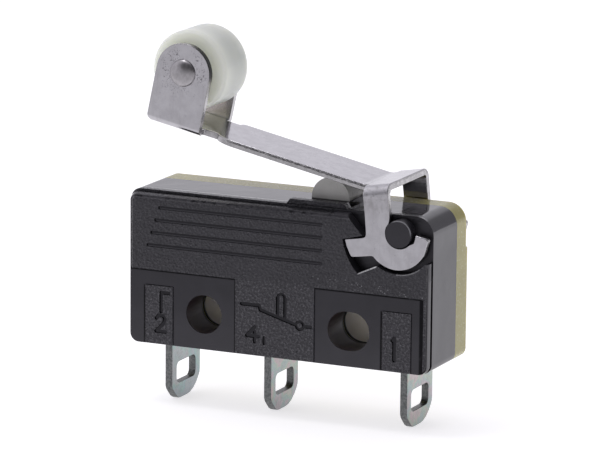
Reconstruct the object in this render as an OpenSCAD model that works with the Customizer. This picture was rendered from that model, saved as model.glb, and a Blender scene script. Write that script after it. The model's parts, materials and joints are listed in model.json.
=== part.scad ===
// Sub-miniature snap-action switch with roller lever.
// Frame: origin at the middle of the round fixing hole, +X along the body
// towards the lever pivot, -Y out of the marked front face, +Z up out of the
// plunger. Each sub-part is drawn in a body frame (X from the middle of the
// body, Y from the front plane, Z from the underside) and moved by at_hole().

/* [Body] */
// Length of the body
body_l = 19.8; // [19.6:0.1:20.0]
// Thickness of the body, front plane to rear plane
body_w = 6.4; // [6.3:0.05:6.5]
// Height of the body
body_h = 9.33; // [9.3:0.01:9.4]
// Depth at which housing and cover meet
seam_y = 4.25; // [4.2:0.05:4.3]
// Depth of the inset front block of the housing
block_d = 0.75; // [0.7:0.05:0.75]
// Depth of the inset rear block of the cover
cover_block_d = 0.53; // [0.5:0.01:0.6]
// Inset of the front block from the outline
block_inset = 0.16; // [0.1:0.02:0.2]
// Depth of the recessed pads of the front face
pad_d = 0.10; // [0.05:0.01:0.12]
// Depth of the engraved lines and numbers
mark_d = 0.09; // [0.05:0.01:0.1]

/* [Fixing holes] */
// Radius of the round fixing hole, half width of the slotted one
hole_r = 1.175; // [1.1:0.025:1.2]
// Distance between the fixing holes
hole_pitch = 9.5; // [9.4:0.1:9.6]
// Height of the holes above the underside
hole_z = 2.15; // [2.1:0.05:2.2]
// End to end length of the slotted hole
slot_l = 2.7; // [2.5:0.1:2.8]

/* [Terminals] */
// Thickness of the terminals
term_t = 0.48; // [0.4:0.02:0.5]
// Width of the terminals
term_w = 3.8; // [3.4:0.1:3.8]
// Length of the terminals below the body
term_l = 3.8; // [3.5:0.1:4.5]
// Width of the eye in a terminal, across the tail
eye_w = 2.55; // [2.3:0.05:2.6]
// Height of the eye in a terminal
eye_h = 1.32; // [1.2:0.02:1.5]

/* [Lever] */
// Thickness of the lever sheet
sheet_t = 0.40; // [0.36:0.02:0.42]
// Width over the two legs
lever_w = 6.1; // [6.0:0.05:6.1]
// Width of the arm
arm_w = 4.0; // [3.6:0.1:4.0]
// Slope of the arm at rest, in degrees
arm_slope = 11.9; // [11.5:0.1:12.2]
// Width over the two roller ears
ear_w = 4.5; // [4.4:0.05:4.6]
// Radius of the pivot bosses
boss_r = 0.82; // [0.8:0.01:0.84]
// Inner radius of the hooks
hook_r = 0.88; // [0.87:0.005:0.9]
// Outer radius of the hooks
hook_ro = 1.97; // [1.95:0.01:2.0]

/* [Roller] */
// Diameter of the roller
roller_d = 4.90; // [4.6:0.02:4.92]
// Width of the roller
roller_w = 3.12; // [2.9:0.02:3.2]
// Radius of the roller pin
pin_r = 0.60; // [0.55:0.01:0.65]
// Radius of the pin heads
head_r = 0.84; // [0.78:0.02:0.9]

/* [Plunger] */
// Radius of the plunger's rounded nose
nose_r = 1.24; // [1.2:0.01:1.25]
// Distance of the plunger from the middle of the body
plunger_x = 2.78; // [2.75:0.01:2.82]

/* [Hidden] */
$fn = 64;
hx = body_l / 2;
my = body_w / 2;                 // middle plane of the thickness
post_y = 2.5;                    // front ends of the cover's hollow posts round the fixing holes
under = -0.05;                   // rounded underside, just below the reference plane
h1 = -4.7;                       // X of the round fixing hole
h2 = h1 + hole_pitch;            // X of the slotted fixing hole
pvx = 7.95;                      // lever pivot
pvz = 8.32;
rx = -6.64;                      // roller centre
rz = 16.51;
nose_z = 9.67;                   // centre of the plunger's nose
nc_x = -7.64;                    // the three terminals
no_x = -1.01;
com_x = 7.89;
cav_y0 = 1.2;                    // cavity, front and rear wall
cav_y1 = body_w - 1.2;
cav_x = hx - 0.8;
cav_z0 = 0.9;
cav_z1 = body_h - 0.85;
ct_x = -6.4;                     // contact pair
bl_px = 3.35;                    // blade pivot
bl_pz = 5.6;
bl_tilt = 2.82;                  // blade slope at rest
black = [0.13, 0.13, 0.14];
olive = [0.66, 0.62, 0.42, 0.9];
steel = [0.74, 0.74, 0.77];
plated = [0.72, 0.72, 0.70];

module at_hole() { translate([-h1, -my, -hole_z]) children(); }
// 2-D outline in X,Z extruded through Y from y0 to y1
module slab(y0, y1) { translate([0, y1, 0]) rotate([90, 0, 0]) linear_extrude(y1 - y0) children(); }
// cylinder along Y
module ycyl(x, z, r, y0, y1) { translate([x, y1, z]) rotate([90, 0, 0]) cylinder(r = r, h = y1 - y0); }
module box(x0, x1, y0, y1, z0, z1) { translate([x0, y0, z0]) cube([x1 - x0, y1 - y0, z1 - z0]); }
// what is cut from a square corner at (x, z) to leave radius r; sx, sz point into the shape
module corner(x, z, sx, sz, r) {
    translate([x, z]) scale([1, 1]) difference() {
        translate([min(0, sx * r) - (sx > 0 ? 0.05 : 0), min(0, sz * r) - (sz > 0 ? 0.05 : 0)]) square([r + 0.05, r + 0.05]);
        translate([sx * r, sz * r]) circle(r);
    }
}
// rounded outline of the body, inset by d (by dr at the pivot end)
module outline(d = 0, dr = 0, rl = 0.62, rt = 1.12, rb = 0.55) {
    b = under + 0.2 * d;
    difference() {
        translate([-hx + d, b]) square([body_l - d - dr, body_h - b - d]);
        corner(-hx + d, body_h - d, 1, -1, rl - d);
        corner(hx - dr, body_h - d, -1, -1, rt - d);
        corner(-hx + d, b, 1, 1, rb);
        corner(hx - dr, b, -1, 1, rb);
    }
}
// round-ended engraved stroke
module stroke(x0, z0, x1, z1, w = 0.2) {
    l = sqrt((x1 - x0) * (x1 - x0) + (z1 - z0) * (z1 - z0));
    translate([x0, z0]) rotate(atan2(z1 - z0, x1 - x0)) {
        translate([0, -w / 2]) square([l, w]);
        circle(w / 2, $fn = 20);
        translate([l, 0]) circle(w / 2, $fn = 20);
    }
}
// clearance pocket of the lever hook, open at the top and at the pivot end
function arc(cx, cz, r, a0, a1, n) = [for (i = [0:n]) let (a = a0 + (a1 - a0) * i / n) [cx + r * cos(a), cz + r * sin(a)]];
module pocket2d() {
    polygon(concat([[3.94, 9.9], [5.66, 8.02]],
        arc(7.95, 8.25, 3.60, 188.8, 224.5, 10),
        arc(7.95, 8.25, 2.34, 236.0, 318.0, 16),
        [[10.4, 6.6], [10.4, 9.9]]));
}
module fix_holes(y0, y1, grow = 0) {
    ycyl(h1, hole_z, hole_r + grow, y0, y1);
    for (s = [-1, 1]) ycyl(h2 + s * (slot_l / 2 - hole_r), hole_z, hole_r + grow, y0, y1);
    box(h2 - (slot_l / 2 - hole_r), h2 + (slot_l / 2 - hole_r), y0, y1, hole_z - hole_r - grow, hole_z + hole_r + grow);
}
// the three slots in the bottom wall that hold the terminals
module term_slots() {
    for (x = [nc_x, no_x, com_x])
        box(x - term_t / 2, x + term_t / 2, my - term_w / 2, my + term_w / 2, -0.5, cav_z0 + 0.3);
}
module cavity2d() {
    difference() {
        translate([-cav_x, cav_z0]) square([2 * cav_x, cav_z1 - cav_z0]);
        corner(-cav_x, cav_z1, 1, -1, 0.5);
        corner(cav_x, cav_z1, -1, -1, 0.5);
    }
}
// shoulder block: outline inset, rounded towards its outer plane; y is the plane, s points inwards
module block(y, s, depth, upright = true) {
    module skin(d, dr, yy) { translate([0, yy, 0]) rotate([90, 0, 0]) translate([0, 0, -0.005]) linear_extrude(0.01) outline(d, dr, $fn = 32); }
    if (upright) {
        hull() { skin(block_inset, 0.03, y + s * 0.54); skin(block_inset, 0.03, y + s * 0.34); skin(block_inset + 0.09, 0.05, y + s * 0.12); skin(block_inset + 0.30, 0.13, y + s * 0.005); }
        // narrow neck behind the block
        slab(y + 0.50, y + depth + 0.05) outline(block_inset, 0.11);
    } else
        hull() { skin(block_inset, block_inset, y + s * (depth + 0.05)); skin(block_inset + 0.09, block_inset + 0.09, y + s * 0.12); skin(block_inset + 0.30, block_inset + 0.30, y + s * 0.005); }
}

module front_marks() {
    // plain ribs: fine parallel grooves over the upper field
    for (i = [0:3]) stroke(-7.62 - i * 0.26, 8.42 - i * 0.78, 3.0, 8.42 - i * 0.78, 0.22);
    // terminal 2
    stroke(-7.52, 3.22, -7.52, 2.05, 0.23); stroke(-7.52, 3.22, -7.0, 3.22, 0.23);
    for (p = [[-7.83, 1.62, -7.70, 1.80], [-7.70, 1.80, -7.38, 1.80], [-7.38, 1.80, -7.26, 1.60], [-7.26, 1.60, -7.34, 1.36], [-7.34, 1.36, -7.86, 0.82], [-7.86, 0.82, -7.22, 0.82]])
        stroke(p[0], p[1], p[2], p[3], 0.23);
    // terminal 4
    for (p = [[-1.28, 1.78, -1.80, 1.22], [-1.80, 1.22, -1.02, 1.22], [-1.28, 1.50, -1.28, 0.88]])
        stroke(p[0], p[1], p[2], p[3], 0.23);
    stroke(-0.66, 1.20, -0.66, 0.84, 0.20);
    // terminal 1
    stroke(7.80, 2.06, 7.80, 0.74, 0.25); stroke(7.80, 2.06, 7.66, 1.90, 0.20);
    // change-over contact symbol
    for (p = [[-2.15, 3.12, -1.00, 3.12], [-1.00, 3.12, -0.92, 2.86], [-0.92, 2.86, 1.30, 2.22], [1.98, 2.15, 2.38, 2.15],
              [0.22, 2.55, 0.22, 3.72], [0.70, 2.42, 0.70, 3.72]])
        stroke(p[0], p[1], p[2], p[3], 0.23);
    translate([0.46, 3.72]) difference() { circle(0.325, $fn = 32); circle(0.155, $fn = 32); translate([-0.4, -0.5]) square([0.8, 0.5]); }
    translate([1.68, 2.18]) difference() { circle(0.33, $fn = 32); circle(0.15, $fn = 32); }
}

module housing() {
    color(black) at_hole() difference() {
        union() {
            slab(block_d, seam_y) outline();
            difference() {
                block(0, 1, block_d);
                slab(-1, block_d) pocket2d();
            }
            // grained lip along the front of the top face
            slab(block_d, 1.30) polygon([[0.30, 9.2], [0.62, body_h + 0.30], [4.14, body_h + 0.30], [4.40, 9.2]]);
            // low rim beside the plunger
            slab(1.25, seam_y) polygon([[4.06, 9.2], [4.06, body_h + 0.30], [4.14, body_h + 0.30], [4.40, 9.2]]);
            ycyl(pvx, pvz, boss_r, 0.03, block_d + 0.1);
        }
        // recessed pads beside the terminal fields
        slab(-1, pad_d) {
            difference() {
                union() {
                    translate([-12, -1]) square([9.39, 5.55]);
                    translate([2.58, -1]) square([7.05, 5.55]);
                }
                translate([-8.62, -2]) square([1.86, 5.62]);
                translate([6.98, -2]) square([1.86, 5.62]);
            }
        }
        slab(-1, mark_d) front_marks();
        fix_holes(-1, seam_y + 1);
        // sockets for the cover's posts
        fix_holes(post_y - 0.14, seam_y + 1, 0.42);
        difference() {
            slab(cav_y0, seam_y + 1) cavity2d();
            ycyl(h1, hole_z, 1.95, 0, seam_y + 2);
            ycyl(h2, hole_z, 2.05, 0, seam_y + 2);
        }
        // plunger guide, open to the seam
        box(plunger_x - 1.30, plunger_x + 1.30, 1.75, seam_y + 1, cav_z1 - 0.2, body_h + 1);
        term_slots();
    }
}
module cover() {
    color(olive) at_hole() difference() {
        union() {
            slab(seam_y, body_w - block_d) outline();
            difference() {
                union() {
                    slab(body_w - block_d - 0.05, body_w - cover_block_d) outline();
                    block(body_w, -1, cover_block_d, false);
                }
                slab(body_w - block_d, body_w + 1) pocket2d();
            }
            ycyl(pvx, pvz, boss_r, body_w - block_d - 0.1, body_w - 0.03);
            // hollow posts that line the fixing holes
            fix_holes(post_y, seam_y + 0.3, 0.40);
            // spigot inside the housing rim
            difference() {
                slab(seam_y - 0.45, seam_y + 0.2) cavity2d();
                slab(0, seam_y + 0.1) translate([-cav_x + 0.35, cav_z0 + 0.35]) square([2 * cav_x - 0.7, cav_z1 - cav_z0 - 0.7]);
                box(0.5, 5.1, 0, seam_y, 7, 9);
                // clear of the posts round the fixing holes
                ycyl(h1, hole_z, 2.0, 0, seam_y);
                ycyl(h2, hole_z, 2.1, 0, seam_y);
            }
        }
        fix_holes(0, body_w + 1);
        difference() {
            slab(0, cav_y1) translate([-cav_x + 0.35, cav_z0 + 0.35]) square([2 * cav_x - 0.7, cav_z1 - cav_z0 - 0.7]);
            ycyl(h1, hole_z, 1.95, seam_y, 9);
            ycyl(h2, hole_z, 2.05, seam_y, 9);
            fix_holes(post_y - 0.1, seam_y + 0.2, 0.41);
        }
        for (x = [nc_x, no_x, com_x])
            box(x - term_t / 2, x + term_t / 2, 0, my + term_w / 2, -0.5, 2.0);
    }
}

// channel section of the folded sheet: outer width w, outer bend radius r, top at 0
module channel2d(w, r, depth) {
    module u(w, r, top) {
        difference() {
            translate([-w / 2, -depth]) square([w, depth + top]);
            corner(-w / 2, top, 1, -1, r);
            corner(w / 2, top, -1, -1, r);
        }
    }
    difference() {
        u(w, r, 0);
        translate([0, -0.001]) difference() {
            translate([-w / 2 + sheet_t, -depth - 1]) square([w - 2 * sheet_t, depth + 1 - sheet_t]);
            corner(-w / 2 + sheet_t, -sheet_t, 1, -1, r - sheet_t);
            corner(w / 2 - sheet_t, -sheet_t, -1, -1, r - sheet_t);
        }
    }
}
ear_y = 3.30;                     // middle of the two roller ears
ear_r = 1.79;                     // radius of their round ends
base_slope = 10.0;                 // the base rises towards the pivot end
kx = 5.24;                        // bend line between arm and base, top surface
kz = 10.85;
// distance from the roller's axis to the underside of the arm
ear_d = (rz - kz - (kx - rx) * tan(arm_slope)) * cos(arm_slope) + sheet_t;
// strip of sheet bent at the kink, seen from the front
module strip2d(x_left, x_right) {
    r = 0.9;                      // inner (upper) radius of the bend
    // unit directions: arm up to the left, base up to the right
    a1 = 180 - arm_slope; a2 = base_slope;
    half = (a1 - a2) / 2;
    bis = (a1 + a2) / 2;
    cx = kx + r / sin(half) * cos(bis);
    cz = kz + r / sin(half) * sin(bis);
    la = (kx - x_left) / cos(arm_slope);
    lb = (x_right - kx) / cos(base_slope);
    polygon(concat(
        [[kx + la * cos(a1), kz + la * sin(a1)]],
        arc(cx, cz, r, a1 + 90, a2 + 270, 8),
        [[kx + lb * cos(a2), kz + lb * sin(a2)],
         [kx + lb * cos(a2) + sheet_t * sin(a2), kz + lb * sin(a2) - sheet_t * cos(a2)]],
        arc(cx, cz, r + sheet_t, a2 + 270, a1 + 90, 8),
        [[kx + la * cos(a1) + sheet_t * cos(a1 + 90), kz + la * sin(a1) + sheet_t * sin(a1 + 90)]]));
}
module leg2d() {
    difference() {
        union() {
            polygon([[5.51, 11.6], [7.18, 11.6], [7.22, 10.4], [7.29, 9.8], [7.33, 9.2], [7.26, 8.6], [7.22, 8.3], [pvx - 0.75, 7.6], [6.30, 7.0], [5.82, 7.4], [5.82, 7.96], [5.56, 10.5]]);
            polygon([[5.86, 7.93], [4.47, 7.67], [4.86, 6.62], [6.41, 6.84], [7.2, 7.3], [6.4, 8.1]]);
            difference() {
                circle_at(7.80, 8.08, hook_ro);
                polygon([[pvx, pvz], [pvx + 3, pvz - 1.7], [pvx + 3, pvz + 3], [pvx - 3, pvz + 3], [pvx - 3, pvz + 0.2]]);
            }
            // upturned end of the hook
            polygon([[pvx + 0.4, pvz - 0.8], [9.53, 7.12], [9.60, 7.30], [9.69, 7.68], [9.77, 7.95], [9.78, 8.03], [9.75, 8.13], [9.68, 8.19], [9.45, 8.25], [8.99, 8.32], [8.70, 8.05]]);
        }
        circle_at(pvx, pvz, hook_r);
        // opening that lets the hook snap over its boss
        polygon([[pvx, pvz], [8.58, 7.70], [8.88, 7.82], [8.94, 8.05], [8.99, 8.33], [10.5, 8.33], [10.5, 12], [7.40, 12], [7.34, 8.5]]);
    }
}
module circle_at(x, z, r) { translate([x, z]) circle(r); }
module lever() {
    color(steel) at_hole() {
        difference() {
            union() {
                // base with its two legs
                intersection() {
                    translate([kx, my, kz]) rotate([0, -base_slope, 0]) translate([-4, 0, 0]) rotate([90, 0, 90])
                        linear_extrude(12) channel2d(lever_w, 0.62, 6);
                    slab(-1, 8) leg2d();
                }
                // arm and middle of the base, with relief notches beside the ears
                intersection() {
                    slab(my - arm_w / 2, my + arm_w / 2) strip2d(-8.0, 5.9);
                    translate([0, 0, 5]) linear_extrude(12) polygon(concat(
                        [[-9, ear_y + ear_w / 2 - 0.72], [-4.62, ear_y + ear_w / 2 - 0.72]],
                        arc(-4.32, my + arm_w / 2 - 0.30, 0.30, 180, 90, 5), [[7, my + arm_w / 2 + 0.1], [7, my - arm_w / 2 - 0.1]],
                        arc(-4.36, my - arm_w / 2 + 0.22, 0.22, 270, 180, 5), [[-4.58, ear_y - ear_w / 2 + 0.72], [-9, ear_y - ear_w / 2 + 0.72]]));
                }
                // roller ears on the end of the arm
                intersection() {
                    translate([rx, ear_y, rz]) rotate([0, arm_slope, 0]) translate([-3, 0, -ear_d]) rotate([90, 0, 90])
                        mirror([0, 1]) linear_extrude(6) channel2d(ear_w, 0.46, 6);
                    slab(-1, 8) translate([rx, rz]) rotate(-arm_slope) difference() {
                        union() {
                            circle(ear_r);
                            translate([-ear_r, -3.6]) square([2 * ear_r, 3.6]);
                        }
                        corner(-ear_r, -ear_d, 1, 1, 0.40);
                    }
                }
            }
            ycyl(rx, rz, pin_r, 0, 8);
        }
    }
}
module roller() {
    r = roller_d / 2; w = roller_w / 2; f = 0.20;
    color([0.88, 0.88, 0.78]) at_hole() translate([rx, ear_y + 0.16, rz]) rotate([90, 0, 0]) rotate_extrude($fn = 96)
        polygon(concat([[pin_r + 0.05, -w], [r - f, -w]], arc(r - f, -w + f, f, -75, 0, 5), arc(r - f, w - f, f, 0, 75, 5), [[r - f, w], [pin_r + 0.05, w]]));
}
module roller_pin() {
    ye = ear_w / 2;
    color(steel) at_hole() translate([rx, ear_y, rz]) rotate([90, 0, 0]) rotate_extrude($fn = 64)
        polygon([[0, -ye - 0.16], [head_r - 0.22, -ye - 0.16], [head_r - 0.07, -ye - 0.11], [head_r, -ye], [pin_r, -ye],
                 [pin_r, ye], [head_r, ye], [head_r - 0.07, ye + 0.11], [head_r - 0.22, ye + 0.16], [0, ye + 0.16]]);
}
module plunger() {
    color([0.45, 0.45, 0.46]) at_hole() {
        ycyl(plunger_x, nose_z, nose_r, 1.8, 4.2);
        box(plunger_x - nose_r, plunger_x + nose_r, 1.8, 4.2, 8.12, nose_z);
        box(plunger_x - nose_r - 0.45, plunger_x + nose_r + 0.30, 1.8, 4.2, 8.12, 8.42);
        // foot that presses the rocker
        ycyl(plunger_x, 8.07, 0.30, 2.4, 4.0);
    }
}
module term_tail(x) {
    y0 = my - term_w / 2; y1 = my + term_w / 2;
    z = -term_l;
    ez = z + 0.98;                // underside of the eye
    er = 0.36;                    // radius of its corners
    translate([x - term_t / 2, 0, 0]) rotate([90, 0, 90]) linear_extrude(term_t) difference() {
        polygon([[y0, cav_z0 + 0.3], [y0, z + 0.95], [y0 + 0.10, z + 0.73], [y0 + 0.38, z + 0.44], [y0 + 0.68, z + 0.16], [y0 + 0.92, z + 0.03], [y0 + 1.15, z],
                 [y1 - 1.75, z], [y1 - 1.36, z + 0.05], [y1 - 0.90, z + 0.22], [y1 - 0.48, z + 0.52], [y1 - 0.20, z + 0.82], [y1 - 0.05, z + 1.03], [y1, z + 1.28], [y1, cav_z0 + 0.3]]);
        translate([my - eye_w / 2, ez + er]) square([eye_w, eye_h - 2 * er]);
        translate([my - eye_w / 2 + er, ez]) square([eye_w - 2 * er, eye_h]);
        for (a = [-1, 1], b = [er, eye_h - er]) translate([my + a * (eye_w / 2 - er), ez + b]) circle(er);
    }
}
no_z = 4.57;                      // underside of the fixed contact plates
nc_z = 6.70;
module nc_terminal() {
    color(plated) at_hole() difference() {
        union() {
            term_tail(nc_x);
            box(nc_x - term_t / 2, nc_x + term_t / 2, my - 1.4, my + 1.4, 1.0, nc_z + term_t);
            box(nc_x - term_t / 2, -5.55, my - 1.4, my + 1.4, nc_z, nc_z + term_t);
        }
        translate([ct_x, my, 0]) cylinder(r = 0.35, h = 12);
    }
}
module no_terminal() {
    color(plated) at_hole() difference() {
        union() {
            term_tail(no_x);
            box(no_x - term_t / 2, no_x + term_t / 2, my - 1.4, my + 1.4, 1.0, no_z + term_t);
            box(-7.1, no_x + term_t / 2, my - 1.4, my + 1.4, no_z, no_z + term_t);
        }
        translate([ct_x, my, 0]) cylinder(r = 0.35, h = 12);
    }
}
module com_terminal() {
    color(plated) at_hole() difference() {
        union() {
            term_tail(com_x);
            box(com_x - term_t / 2, com_x + term_t / 2, my - 1.4, my + 1.4, 1.0, 8.05);
        }
        // window in which the rocker pivots
        box(com_x - 1, com_x + 1, my - 0.75, my + 0.75, 7.36, 7.84);
    }
}
module pivot_bracket() {
    x1 = com_x - term_t / 2;
    color(plated) at_hole() difference() {
        union() {
            box(3.38, x1, my - 1.3, my + 1.3, 4.30, 4.65);
            box(x1 - 0.35, x1, my - 1.3, my + 1.3, 4.30, 6.30);
            box(3.38, 3.80, my - 1.3, my + 1.3, 4.30, 5.95);
        }
        // gap of the fork for the spring
        box(3, 4.4, my - 0.60, my + 0.60, 4.65, 7);
        // V seats of the blade
        translate([0, my + 3, 0]) rotate([90, 0, 0]) linear_extrude(6) polygon([[3.2, 5.35], [3.55, 5.60], [3.2, 5.85]]);
    }
}
module rocker() {
    color([0.78, 0.76, 0.70]) at_hole() {
        difference() {
            union() {
                box(2.25, com_x - term_t / 2 - 0.20, my - 1.0, my + 1.0, 7.46, 7.74);
                box(com_x - term_t / 2 - 0.3, com_x + 0.55, my - 0.65, my + 0.65, 7.46, 7.74);
                // rounded bead that rocks in the window of the terminal
                ycyl(com_x, 7.60, 0.20, my - 0.65, my + 0.65);
                // tongue that carries the spring
                box(4.85, 5.10, my - 0.45, my + 0.45, 5.70, 7.60);
            }
            translate([4, my, 5.96]) rotate([0, 90, 0]) cylinder(r = 0.14, h = 2, $fn = 24);
        }
    }
}
module on_blade() { translate([bl_px, my, bl_pz]) rotate([0, bl_tilt, 0]) children(); }
module contact_blade() {
    color([0.80, 0.62, 0.38]) at_hole() difference() {
        on_blade() difference() {
            union() {
                box(-10.35, 0, -1.2, 1.2, -0.1, 0.1);
                // rounded edges that rock in the V seats
                for (s = [-1, 1]) translate([0, s * 0.925 + 0.275, 0]) rotate([90, 0, 0]) cylinder(r = 0.1, h = 0.55);
                // lug that holds the spring
                box(-5.55, -5.35, -0.40, 0.40, 0, 0.55);
            }
            box(-5.35, 1, -0.60, 0.60, -1, 1);
            translate([-6, 0, 0.22]) rotate([0, 90, 0]) cylinder(r = 0.14, h = 1, $fn = 24);
        }
        translate([ct_x, my, 0]) cylinder(r = 0.33, h = 12);
    }
}
// swept round wire of the spring: close coils with a straight end at each side
spring_x0 = -1.90;
spring_x1 = 4.72;
wire_r = 0.075;
coil_r = 0.36;
turns = 16;
per = 10;
sides = 5;
module snap_spring() {
    n = turns * per;
    z0 = 6.08; z1 = 5.96;
    function ctr(i) = let (t = (i - 2) / (n - 4), s = min(1, min(i, n - i) / 6), a = 360 * i / per)
        [spring_x0 + 0.10 + (spring_x1 - spring_x0 - 0.20) * i / n, my + coil_r * s * cos(a), z0 + (z1 - z0) * i / n + coil_r * s * sin(a)];
    pts = concat([[spring_x0 - 0.30, my, z0]], [for (i = [0:n]) ctr(i)], [[spring_x1 + 0.46, my, z1]]);
    m = len(pts);
    function dir(i) = let (d = pts[min(i + 1, m - 1)] - pts[max(i - 1, 0)]) d / norm(d);
    function ring(i) = let (d = dir(i), u0 = cross(d, [0, 0.6, 0.8]), u = u0 / norm(u0), v = cross(d, u))
        [for (k = [0:sides - 1]) pts[i] + wire_r * (cos(360 * k / sides) * u + sin(360 * k / sides) * v)];
    color([0.6, 0.6, 0.62]) at_hole() polyhedron(
        points = [for (i = [0:m - 1]) each ring(i)],
        faces = concat([[for (k = [0:sides - 1]) k]],
            [for (i = [0:m - 2]) for (k = [0:sides - 1]) each
                [[i * sides + k, (i + 1) * sides + k, (i + 1) * sides + (k + 1) % sides],
                 [i * sides + k, (i + 1) * sides + (k + 1) % sides, i * sides + (k + 1) % sides]]],
            [[for (k = [sides - 1:-1:0]) (m - 1) * sides + k]]));
}
module moving_contact() {
    zc = bl_pz + (bl_px - ct_x) * tan(bl_tilt);
    color([0.86, 0.86, 0.84]) at_hole() translate([ct_x, my, 0]) difference() {
        union() {
            translate([0, 0, zc - 0.36]) cylinder(r = 0.62, h = 0.72);
        }
        translate([0, -3, zc]) rotate([0, bl_tilt, 0]) difference() { box(-2, 2, 0, 6, -0.1, 0.1); translate([0, 3, -1]) cylinder(r = 0.325, h = 2); }
    }
}
module nc_contact() {
    color([0.86, 0.86, 0.84]) at_hole() translate([ct_x, my, 0]) {
        translate([0, 0, nc_z - 0.25]) cylinder(r = 0.62, h = 0.25);
        translate([0, 0, nc_z - 0.1]) cylinder(r = 0.35, h = term_t + 0.1);
        translate([0, 0, nc_z + term_t]) cylinder(r = 0.5, h = 0.12);
    }
}
module no_contact() {
    color([0.86, 0.86, 0.84]) at_hole() translate([ct_x, my, 0]) {
        translate([0, 0, no_z + term_t]) cylinder(r = 0.62, h = 0.25);
        translate([0, 0, no_z]) cylinder(r = 0.35, h = term_t + 0.1);
        translate([0, 0, no_z - 0.12]) cylinder(r = 0.5, h = 0.12);
    }
}

housing();
cover();
plunger();
lever();
roller();
roller_pin();
com_terminal();
no_terminal();
nc_terminal();
pivot_bracket();
rocker();
contact_blade();
snap_spring();
moving_contact();
no_contact();
nc_contact();
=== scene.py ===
import bpy, bmesh, json, math, random
from mathutils import Vector, Matrix


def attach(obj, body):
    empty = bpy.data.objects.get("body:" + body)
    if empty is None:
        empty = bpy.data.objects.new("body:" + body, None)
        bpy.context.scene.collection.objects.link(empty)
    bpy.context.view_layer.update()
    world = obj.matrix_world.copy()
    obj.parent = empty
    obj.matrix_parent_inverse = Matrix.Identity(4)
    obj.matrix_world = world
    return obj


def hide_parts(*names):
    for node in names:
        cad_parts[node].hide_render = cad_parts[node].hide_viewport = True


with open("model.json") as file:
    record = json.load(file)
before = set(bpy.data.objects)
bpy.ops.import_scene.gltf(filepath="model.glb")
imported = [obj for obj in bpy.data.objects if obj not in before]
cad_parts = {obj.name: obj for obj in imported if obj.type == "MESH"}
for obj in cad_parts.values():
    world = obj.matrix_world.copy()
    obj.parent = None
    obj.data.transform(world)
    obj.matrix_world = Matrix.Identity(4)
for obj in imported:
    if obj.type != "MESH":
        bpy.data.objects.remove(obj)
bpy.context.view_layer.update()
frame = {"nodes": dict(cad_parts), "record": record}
record = frame["record"]
MM = 0.001


def P(x, y, z):
    """Body coordinates in mm (X from the middle, Y from the front plane, Z from the underside) to the row frame in metres."""
    return Vector(((x + 4.7) * MM, (y - 3.2) * MM, (z - 2.15) * MM))


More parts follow.
